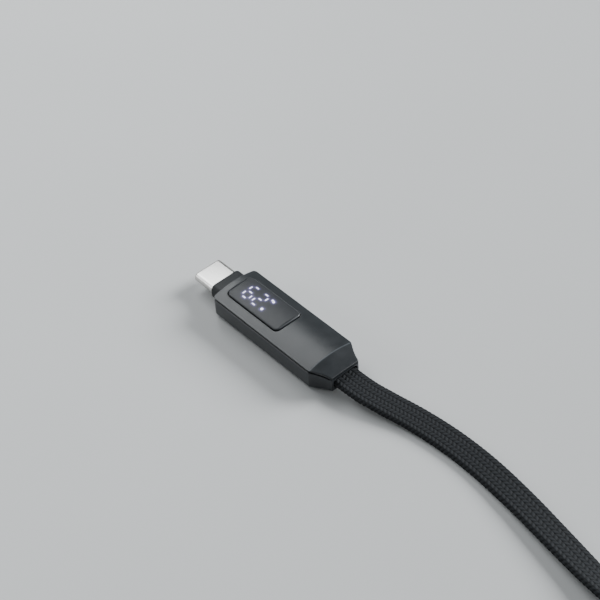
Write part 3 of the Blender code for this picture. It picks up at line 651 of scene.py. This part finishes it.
def cable_tie():
    """A strap that goes once round the turns and laps over itself on top."""
    half = CABLE_THICKNESS / 2
    arc = math.pi * (HANK_RADIUS - TURN_PITCH * TURNS / 2)
    share = (1.5 * HANK_RUN + arc) / (2 * HANK_RUN + 2 * arc)
    y0 = hank_point(TURNS - 1 + share, -half - 0.15)[1]
    y1 = hank_point(share, half + 0.15)[1]
    z0, z1 = TIE_LIFT - 0.05, TIE_LIFT + CABLE_WIDTH + 0.05
    wide, tall = y1 - y0, z1 - z0
    centre = ((y0 + y1) / 2, (z0 + z1) / 2)
    middle = HANK_X + HANK_RUN / 2
    thick = TIE_THICKNESS - 0.05
    profile = [(-1, 0.1), (-0.97, 0.0), (0.97, 0.0), (1, 0.1)]  # across the strap, and outwards
    profile += [(1, 0.9), (0.97, 1.0), (-0.97, 1.0), (-1, 0.9)]
    rings = []
    inner = rounded(wide, tall, 0.5, centre, 8)
    outer = rounded(wide + 2 * thick, tall + 2 * thick, 1.15, centre, 8)
    for (yi, zi), (yo, zo) in zip(inner, outer):
        ring = []
        for across, out in profile:
            x = middle + across * TIE_WIDTH / 2
            ring.append((x, yi + (yo - yi) * out, zi + (zo - zi) * out))
        rings.append(ring)
    made = loft("strap_loop", rings, FINISH["strap"], closed=True)
    top = z1 + thick + 0.02
    # y, rise and share of the strap's width along the end that laps over
    lap = [(y0 + 0.6, 0.06, 0.86), (y0 + 1.2, 0.38, 0.96)]
    lap += [(y1 - 1.6, 0.48, 0.96), (y1 - 0.7, 0.36, 0.9)]
    rings = []
    for y, rise, share in lap:
        across = share * TIE_WIDTH / 2
        corners = [(-across, 0), (across, 0), (across, rise), (-across, rise)]
        rings.append([(middle + x, y, top + z) for x, z in corners])
    flap = loft("strap_flap", rings, FINISH["strap"])
    keep(flap, "hook_and_loop")
    return keep(made, "hook_and_loop", "cable_tie"), flap


# Housings


def curve_at(x, points):
    """A smooth value at x through (x, value) points."""
    xs, vs = zip(*points)
    if x <= xs[0]:
        return vs[0]
    if x >= xs[-1]:
        return vs[-1]
    k = max(i for i in range(len(xs) - 1) if xs[i] <= x)
    t = (x - xs[k]) / (xs[k + 1] - xs[k])
    slopes = []
    for i in (k, k + 1):
        a, b = max(i - 1, 0), min(i + 1, len(xs) - 1)
        slopes.append((vs[b] - vs[a]) / (xs[b] - xs[a]) * (xs[k + 1] - xs[k]))
    rise = vs[k + 1] - vs[k]
    square = 3 * rise - 2 * slopes[0] - slopes[1]
    cube = slopes[0] + slopes[1] - 2 * rise
    return vs[k] + t * slopes[0] + t**2 * square + t**3 * cube


def housing_at(x, body_length):
    """half width, top, crown, bottom, belly, cap and rim heights at a place along X."""
    ridge = NECK_LENGTH + body_length
    share = min(max((x - ridge) / TAIL_LENGTH, 0), 1)
    half = curve_at(
        x,
        [
            (ridge - 0.6, HALF_WIDTH),
            (ridge - 0.25, HALF_WIDTH - 0.02),
            (ridge, 6.42),
            (ridge + 0.3, 6.26),
            (ridge + 0.99, 5.84),
            (ridge + 2.03, 5.25),
            (ridge + 3.4, 4.6),
            (ridge + TAIL_LENGTH, 4.1),
        ],
    )
    bend = 0.14  # the ridge between the top and the facet is rounded over this length
    soft = share
    if abs(x - ridge) < bend:
        soft = (x - ridge + bend) ** 2 / (4 * bend) / TAIL_LENGTH
    top = TOP + soft * (TAIL_TOP - TOP)
    crown = CROWN * (1 - share) + 0.08 * share
    drop = (1 - math.cos(math.pi * min(max((x - ridge + 0.4) / TAIL_LENGTH, 0), 1))) / 2
    cap = CAP_HEIGHT + drop * (TAIL_CAP - CAP_HEIGHT)
    rim = RIM_HEIGHT + drop * (TAIL_RIM - RIM_HEIGHT)
    return half, top, crown, soft * TAIL_BOTTOM, BELLY * (1 - share) + 0.3 * share, cap, rim


def stations(body_length):
    """(x, inset across, inset in height) of the housing's sections."""
    front, ridge = NECK_LENGTH, NECK_LENGTH + body_length
    end = ridge + TAIL_LENGTH
    found = []
    for i in range(9):  # the front's corners are rounded by 1 mm seen from above
        angle = math.pi / 2 * i / 8
        x = 1 - math.cos(angle)
        lift = max(EDGE - x, 0)
        found.append((front + x, 1 - math.sin(angle), EDGE - math.sqrt(EDGE**2 - lift**2)))
    x = front + 1.5
    while x < ridge - 2.6:
        found.append((x, 0, 0))
        x += 0.8
    x = ridge - 2.4
    while x < end - EDGE - 0.05:
        found.append((x, 0, 0))
        x += 0.07 if abs(x - ridge) < 0.6 else 0.25
    for i in range(6):
        angle = math.pi / 2 * i / 5
        inset = EDGE * (1 - math.cos(angle))
        found.append((end - EDGE + EDGE * math.sin(angle), inset, inset))
    return found


def arc(y, z, count, radius):
    """Points of a quarter circle round (y, z), from its side to its top."""
    angles = [math.pi / 2 * i / count for i in range(count + 1)]
    return [(y + radius * math.cos(a), z + radius * math.sin(a)) for a in angles]


def upper_shell(name, body_length, where):
    """The lid: crowned on top, with a facet down to its tail."""
    loops = []
    for x, inset, dip in stations(body_length):
        half, top, crown, _, _, cap, _ = housing_at(x, body_length)
        half -= inset
        top -= dip
        edge_top = top - crown * ((half - EDGE) / HALF_WIDTH) ** 2
        radius = min(EDGE, max(edge_top - cap - 0.06, 0.03))
        right = arc(half - radius, edge_top - radius, 4, radius)
        crown_points = []
        inner = half - radius
        for i in range(1, 32):
            y = inner * (1 - i / 16)
            crown_points.append((y, top - crown * (y / HALF_WIDTH) ** 2))
        left = [(-y, z) for y, z in right[::-1]]
        under_left = [(-half, cap + 0.04), (-half + 0.04, cap), (-half + 0.9, cap)]
        under_right = [(-y, z) for y, z in under_left[::-1]]
        outline = right + crown_points + left + under_left + under_right
        loops.append([(x, y, z) for y, z in outline])
    return loft(name, loops, FINISH["charcoal"], where)


def groove_depth(x, body_length):
    """The groove along the tub's rim, which keeps the gap under the lid dark."""
    from_front = x - NECK_LENGTH - 0.6
    to_end = NECK_LENGTH + body_length + 1.5 - x
    return GROOVE_DEPTH * min(max(from_front, 0.02), max(to_end, 0.02), 1)


def lower_shell(name, body_length, where):
    """The tub: a hollow that holds the boards, a slot for the cable and a hole for the collar."""
    ridge = NECK_LENGTH + body_length
    end = ridge + TAIL_LENGTH
    loops = []
    for x, inset, dip in stations(body_length):
        half, _, _, bottom, belly, _, rim = housing_at(x, body_length)
        half -= inset
        bottom += dip
        flat = min(FLAT_HALF, half - belly)
        corner = []
        for i in range(11):
            angle = math.pi / 2 * i / 10
            out, up = math.cos(angle), 1 - math.sin(angle)
            corner.append((flat + (half - flat) * out, bottom + belly * up))
        floor = rim - groove_depth(x, body_length)
        outer, inner = half - GROOVE_WALL, half - GROOVE_WALL - GROOVE_WIDTH
        groove = [(inner, rim), (inner, floor), (outer, floor), (outer, rim)]
        right = [*groove, (half - 0.05, rim), (half, rim - 0.05), *corner]
        left = [(-y, z) for y, z in right[::-1]]
        loops.append([(x, y, z) for y, z in right + left])
    # the tub's finish is a lighter copy of the charcoal: painted light on its sides
    made = loft(name, loops, FINISH["side"], where)
    inside = (NECK_LENGTH + WALL, ridge - 1.35)
    front = (inside[0], inside[0] + 1.05)
    slot_height = CABLE_THICKNESS + 0.5 + EXIT_DROP
    slot = rounded(CABLE_WIDTH + 0.5, slot_height, 0.9, (0, AXIS_HEIGHT - EXIT_DROP / 2))
    hole = rounded(COLLAR_WIDTH + 0.1, COLLAR_HEIGHT + 0.1, 1.5, (0, AXIS_HEIGHT))
    return carve(
        made,
        block("cavity", inside, (-CAVITY_HALF, CAVITY_HALF), (2.95, 9), None, where),
        block("well", inside, (-4.55, 4.55), (1.0, 9), None, where),
        block("pocket", front, (-CAVITY_HALF, CAVITY_HALF), (1.0, 9), None, where),
        along_x("slot", slot, ridge - 3, end + 1, None, where),
        along_x("hole", hole, NECK_LENGTH - 1, inside[0] + 0.5, None, where),
    )


def paint_edge_highlight(piece, body_length, where):
    """Mark the points on the ridge and the upper edges for a painted highlight; they are also a
    little glossier.
    """
    x0, _, way = where
    ridge = NECK_LENGTH + body_length
    painted_highlight = piece.data.attributes.new("painted_highlight", "FLOAT", "POINT")
    for i, vertex in enumerate(piece.data.vertices):
        x = (vertex.co.x / MM - x0) * way
        z = vertex.co.z / MM
        sideways = math.hypot(vertex.normal.x, vertex.normal.y)
        # how much painted highlight a point gets, on the ridge and along the upper edges
        worn = 0
        if z > CAP_HEIGHT + 0.1:
            worn += 0.85 * math.exp(-(((x - ridge) / 0.13) ** 2))
        if z > CAP_HEIGHT + 0.02:
            worn += 0.45 * math.exp(-(((sideways - 0.66) / 0.16) ** 2))
        painted_highlight.data[i].value = min(worn, 1)
    return piece


def crown_height(y):
    return TOP - CROWN * (y / HALF_WIDTH) ** 2


def window_outline(inset):
    return inset_outline(WINDOW_LENGTH, WINDOW_WIDTH, WINDOW_RADIUS, inset, (WINDOW_MIDDLE, 0))


def window_pocket(where):
    """The cutter of the window's pocket; it flares at the top so that the rim is rounded."""
    loops = [[(x, y, WINDOW_SEAT - 0.03) for x, y in window_outline(-WINDOW_GAP)]]
    rim = [(-0.12, 0.0), (-0.05, 0.02), (-0.01, 0.06), (0.01, 0.12), (0.5, 0.5)]
    for rise, flare in rim:
        outline = window_outline(-WINDOW_GAP - flare)
        loops.append([(x, y, crown_height(y) + rise) for x, y in outline])
    return loft("pocket_cutter", loops, None, where)


def window_height(y):
    return WINDOW_TOP - LENS_CROWN * (y / (WINDOW_WIDTH / 2)) ** 2


LIT_SEGMENTS = ("ACDEFG", "ABDEG")  # a six and a two
SEGMENT_PLACES = {  # column, row, and whether the bar lies level
    "A": (0, 1, True),
    "G": (0, 0, True),
    "D": (0, -1, True),
    "F": (-1, 0.5, False),
    "B": (1, 0.5, False),
    "E": (-1, -0.5, False),
    "C": (1, -0.5, False),
}


def lit_bars():
    """(x, y, length, width) of every lit bar and mark, in the head's frame."""
    bars = []
    for x, lit in zip(DIGIT_X, LIT_SEGMENTS):
        for letter in lit:
            column, row, level = SEGMENT_PLACES[letter]
            size = (BAR_LENGTH, BAR_WIDTH) if level else (BAR_WIDTH, BAR_LENGTH)
            bars.append((x + column * DIGIT_WIDTH / 2, row * DIGIT_HEIGHT / 2, *size))
    return bars + [(x, y, size, size) for x, y, size in MARKS]


def window_slab():
    """The raised lens with a rounded rim, and the glow of the bars on its points."""
    loops = []
    for z in (WINDOW_SEAT, WINDOW_SEAT + 0.3):
        loops.append([(x, y, z) for x, y in window_outline(0)])
    for i in range(6):
        angle = math.pi / 2 * i / 5
        dip = LENS_EDGE * (1 - math.sin(angle))
        ring = window_outline(LENS_EDGE * (1 - math.cos(angle)))
        loops.append([(x, y, window_height(y) - dip) for x, y in ring])
    loops.append([(x, y, window_height(y)) for x, y in window_outline(LENS_EDGE + 0.15)])
    count = len(loops[0])
    points = [p for loop in loops for p in loop]
    faces = tube(count, len(loops), last=False)
    made = add("window_lens", points, faces, FINISH["window"], HEAD)
    fill_top(made.data, count)
    glow = made.data.attributes.new("glow", "FLOAT", "POINT")
    # the ring just under the lens's top edge is marked for a painted highlight
    painted_highlight = made.data.attributes.new("painted_highlight", "FLOAT", "POINT")
    bars = lit_bars()
    for i, vertex in enumerate(made.data.vertices):
        x, y, z = (c / MM for c in vertex.co)
        painted_highlight.data[i].value = max(1 - abs(window_height(y) - z - 0.1) / 0.1, 0)
        if z > WINDOW_SEAT + 0.6:
            glow.data[i].value = glow_at(x - COLLAR_X, y, bars)
    return keep(made, "tinted_window", "display_window")


def glow_at(x, y, bars):
    """How bright the lens is at a place: each bar has a tight halo and a wide, weak one."""
    glow = 0.0
    for bar_x, bar_y, long, wide in bars:
        dx = max(abs(x - bar_x) - long / 2, 0)
        dy = max(abs(y - bar_y) - wide / 2, 0)
        away = math.hypot(dx, dy)
        glow += 0.28 * math.exp(-away * away / 0.08) + 0.035 * math.exp(-away / 0.45)
    return glow


def fill_top(mesh, count):
    """Fill the lens's open top with an even grid so that the glow has points to sit on."""
    bm = bmesh.new()
    bm.from_mesh(mesh)
    bmesh.ops.contextual_create(bm, geom=[e for e in bm.edges if e.is_boundary])
    above = (WINDOW_SEAT + 0.3) * MM
    top = [f for f in bm.faces if len(f.verts) == count and f.calc_center_median().z > above]
    start = COLLAR_X + WINDOW_START
    ways = [((1, 0, 0), start, start + WINDOW_LENGTH)]
    ways.append(((0, 1, 0), -WINDOW_WIDTH / 2, WINDOW_WIDTH / 2))
    for axis, low, high in ways:
        at = low + 0.5
        while at < high - 0.45:
            inside = set(top)
            parts = list(top)
            for sort in (bm.edges, bm.verts):
                parts += [part for part in sort if not inside.isdisjoint(part.link_faces)]
            place = Vector(axis) * at * MM
            cut = bmesh.ops.bisect_plane(bm, geom=parts, plane_co=place, plane_no=axis)
            top = [part for part in cut["geom"] if isinstance(part, bmesh.types.BMFace)]
            at += LENS_GRID
    for face in top:
        for vertex in face.verts:
            vertex.co.z = window_height(vertex.co.y / MM) * MM
    bm.to_mesh(mesh)
    bm.free()
    tidy_normals(mesh)


def lit_pieces():
    """Every lit bar as a thin domed pill on the lens."""
    points, faces, brightness = [], [], []
    for x, y, long, wide in lit_bars():
        radius = min(long, wide) / 2 * 0.98
        base = len(points)
        rings = [(0.0, -0.05, 0.0), (0.0, 0.012, 0.0), (0.05, 0.026, 0.35), (0.11, 0.032, 0.8)]
        rings.append((radius * 0.9, 0.034, 1.0))
        for inset, rise, bright in rings:
            outline = inset_outline(long, wide, radius, inset, (x, y), 5)
            points += [(a, b, window_height(b) + rise) for a, b in outline]
            brightness += [bright] * len(outline)
        faces += tube(len(outline), len(rings), base)
    made = add("readout_bars", points, faces, FINISH["lit"], HEAD)
    core = made.data.attributes.new("core", "FLOAT", "POINT")
    core.data.foreach_set("value", brightness)
    return keep(made, "light_bars")


def nose_collar(name, where):
    def outline(inset):
        size = (COLLAR_WIDTH - 2 * inset, COLLAR_HEIGHT - 2 * inset)
        return rounded(*size, 1.45 - inset * 0.8, (0, AXIS_HEIGHT), 8)

    back = NECK_LENGTH + WALL + 0.05
    spans = [(0, 0.3), (0.03, 0.17), (0.1, 0.07), (0.2, 0.015), (0.3, 0), (back + 0.9, 0)]
    made = rounded_bar(name, outline, spans, FINISH["collar"], where)
    width, height = SHELL_WIDTH + 0.1, SHELL_HEIGHT + 0.1
    bore = rounded(width, height, height / 2, (0, AXIS_HEIGHT), 10)
    return carve(made, along_x("bore", bore, -1, back + 2, None, where))


def plug_shell(name, where):
    """The drawn tube, its front lip rolled in a little, open at both ends."""
    def outline(inset):
        size = (SHELL_WIDTH - 2 * inset, SHELL_HEIGHT - 2 * inset)
        return rounded(*size, SHELL_HEIGHT / 2 - inset, (0, AXIS_HEIGHT), 12)

    tip, back = -SHELL_REACH, 2.6
    spans = [(back, 0), (tip + 0.35, 0), (tip + 0.12, 0.03), (tip + 0.03, 0.08)]
    spans += [(tip, 0.12), (tip + 0.04, SHELL_WALL), (back, SHELL_WALL)]
    return rounded_bar(name, outline, spans, FINISH["steel"], where, closed=True)


def plug_insulator(name, where):
    inner = SHELL_HEIGHT - 2 * SHELL_WALL - 0.1

    def outline(inset):
        width = SHELL_WIDTH - 2 * SHELL_WALL - 0.1 - 2 * inset
        return rounded(width, inner - 2 * inset, inner / 2 - inset, (0, AXIS_HEIGHT), 10)

    front = 0.1 - SHELL_REACH
    spans = [(front, 0.1), (front + 0.1, 0), (0.5, 0)]
    made = rounded_bar(name, outline, spans, FINISH["black"], where)
    mouth = rounded(MOUTH_WIDTH, MOUTH_HEIGHT, 0.2, (0, AXIS_HEIGHT), 4)
    return carve(made, along_x("mouth", mouth, -SHELL_REACH - 1, 2, None, where))


def contact_rows(name, where):
    """Both rows of sprung gold contacts, each bowed towards the mouth's middle."""
    half, thick = 0.13, 0.07
    corners = [(-half, 0), (half, 0), (half, thick), (-half, thick)]
    path = [(-5.25, 0.45), (-5.05, 0.36), (-4.6, 0.3), (-3.6, 0.34), (-1.5, 0.38), (0.9, 0.38)]
    points, faces = [], []
    for side in (-1, 1):
        for i in range(CONTACTS):
            y = (i - (CONTACTS - 1) / 2) * CONTACT_PITCH
            faces += tube(len(corners), len(path), len(points))
            for x, height in path:
                points += [(x, y + a, AXIS_HEIGHT + side * (height + b)) for a, b in corners]
    return add(name, points, faces, FINISH["gold"], where)


def usb_plug(prefix, where):
    """The four pieces of a plug in front of its housing."""
    shell = plug_shell(prefix + "steel_shell", where)
    keep(shell, "plated_steel", prefix + "plug_shell")
    sleeve = plug_insulator(prefix + "mouth_sleeve", where)
    keep(sleeve, "black_plastic", prefix + "plug_insulator")
    contacts = contact_rows(prefix + "gold_contacts", where)
    keep(contacts, "gold_contacts")
    collar = nose_collar(prefix + "neck_collar", where)
    keep(collar, "charcoal_housing", prefix + "nose_collar")
    return [shell, sleeve, contacts, collar]


# What stays as the CAD made it, by a part of its name, and the finish that it gets

KEPT_NODES = {
    "contact_wafer": "black",
    "ground_spring": "steel",
    "latch_plate": "steel",
    "window_gasket": "black",
    "segment_display": "white",
    "meter_board": "board",
    "paddle_board": "board",
    "chip": "chip",
    "regulator": "chip",
    "shunt_resistor": "steel",
    "capacitor": "ceramic",
    "inner_mould": "black",
    "vbus_wire": "red",
    "ground_wire": "wire_black",
    "cc_wire": "blue",
    "dplus_wire": "green",
    "dminus_wire": "wire_white",
}


def kept_nodes(prefix=""):
    """(piece, finish) of every CAD node that stays and whose name starts with prefix."""
    found = []
    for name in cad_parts:
        finish = next((KEPT_NODES[key] for key in KEPT_NODES if key in name), None)
        if finish and name.startswith(prefix):
            found.append((bpy.data.objects[name], FINISH[finish]))
    return found


def finish_cad_nodes():
    for piece, finish in kept_nodes():
        piece.data.materials.clear()
        piece.data.materials.append(finish)


# Studio


def studio():
    size = 3.0  # metres, like the softboxes' places and sizes
    corners = [(-size, -size, 0), (size, -size, 0), (size, size, 0), (-size, size, 0)]
    mesh = bpy.data.meshes.new("floor")
    mesh.from_pydata(corners, [], [(0, 1, 2, 3)])
    floor = bpy.data.objects.new("floor", mesh)
    bpy.context.scene.collection.objects.link(floor)
    mesh.materials.append(floor_finish("floor_finish"))
    world = bpy.data.worlds.new("studio")
    world.use_nodes = True
    background = world.node_tree.nodes["Background"]
    background.inputs["Color"].default_value = (0.9, 0.965, 1.0, 1)
    background.inputs["Strength"].default_value = 0.14
    bpy.context.scene.world = world
    softbox("key", (-0.34, 0.03, 0.39), (0.46, 0.2), 1.95)
    softbox("window", (0.9, 2.25, 1.22), (1.2, 1.2), 151.0)
    softbox("rim", (-0.45, -0.54, 0.32), (0.3, 0.2), 1.5)


def softbox(name, place, size, power):
    data = bpy.data.lights.new(name, "AREA")
    data.shape, data.energy = "RECTANGLE", power
    data.size, data.size_y = size
    data.color = (0.955, 0.985, 1.0)
    made = bpy.data.objects.new(name, data)
    bpy.context.scene.collection.objects.link(made)
    made.location = place
    made.rotation_euler = (-Vector(place)).to_track_quat("-Z", "Y").to_euler()


def main():
    camera()
    jacket, line, total = cable()
    tie, flap = cable_tie()
    far_pieces = usb_plug("far_", FAR)
    far_upper = paint_edge_highlight(upper_shell("far_lid", FAR_BODY_LENGTH, FAR), FAR_BODY_LENGTH, FAR)
    far_lower = lower_shell("far_tub", FAR_BODY_LENGTH, FAR)
    keep(far_upper, "charcoal_housing", "far_upper_housing")
    keep(far_lower, "charcoal_housing", "far_lower_housing")
    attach(jacket, "root")
    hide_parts("cable_run", "cable_hank", "cable_lead")
    usb_plug("", HEAD)
    lid = upper_shell("head_lid", BODY_LENGTH, HEAD)
    carve(lid, window_pocket(HEAD))
    paint_edge_highlight(lid, BODY_LENGTH, HEAD)
    keep(lid, "charcoal_housing", "upper_housing")
    keep(lower_shell("head_tub", BODY_LENGTH, HEAD), "charcoal_housing", "lower_housing")
    window_slab()
    lit_pieces()
    finish_cad_nodes()
    studio()


main()
